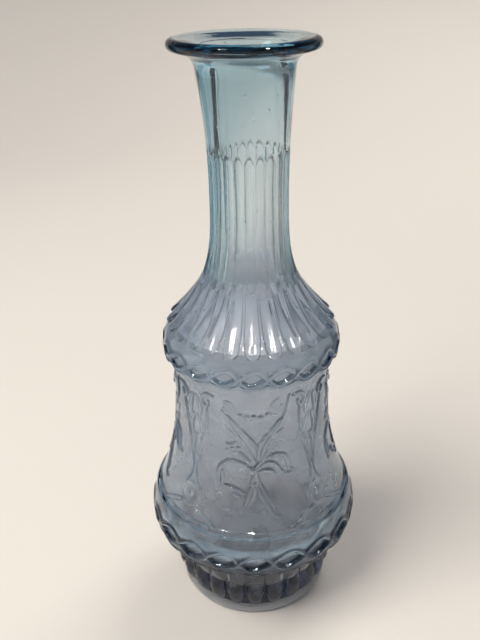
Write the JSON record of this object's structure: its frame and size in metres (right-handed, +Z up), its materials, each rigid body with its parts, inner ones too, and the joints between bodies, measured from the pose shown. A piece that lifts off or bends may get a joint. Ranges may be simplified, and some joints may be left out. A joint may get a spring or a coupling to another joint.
{
  "type": "moulded glass bottle",
  "caption": "Tall waisted glass bottle with a flanged lip, fluted neck, gadrooned shoulder, cable rings, panels of raised bouquets and a bossed foot.",
  "frame": {"origin": "centre of the standing face, on the table", "axes": "+Z up along the bottle's axis, the front panel facing -Y"},
  "size_m": [0.0958, 0.0958, 0.25],
  "materials": {
    "aqua_glass": "fire-polished, slightly wavy, with fine seeds"
  },
  "bodies": {
    "root": {"floor_disc": "aqua_glass", "foot_ring": "aqua_glass", "lower_cable_ring": "aqua_glass", "body_wall": "aqua_glass", "upper_cable_ring": "aqua_glass", "gadrooned_shoulder": "aqua_glass", "fluted_neck": "aqua_glass", "plain_neck": "aqua_glass", "lip_flange": "aqua_glass", "bouquet_front": "aqua_glass", "bow_front": "aqua_glass", "scroll_after_front": "aqua_glass", "bouquet_right": "aqua_glass", "bow_right": "aqua_glass", "scroll_after_right": "aqua_glass", "bouquet_back": "aqua_glass", "bow_back": "aqua_glass", "scroll_after_back": "aqua_glass", "bouquet_left": "aqua_glass", "bow_left": "aqua_glass", "scroll_after_left": "aqua_glass"}
  },
  "joints": []
}
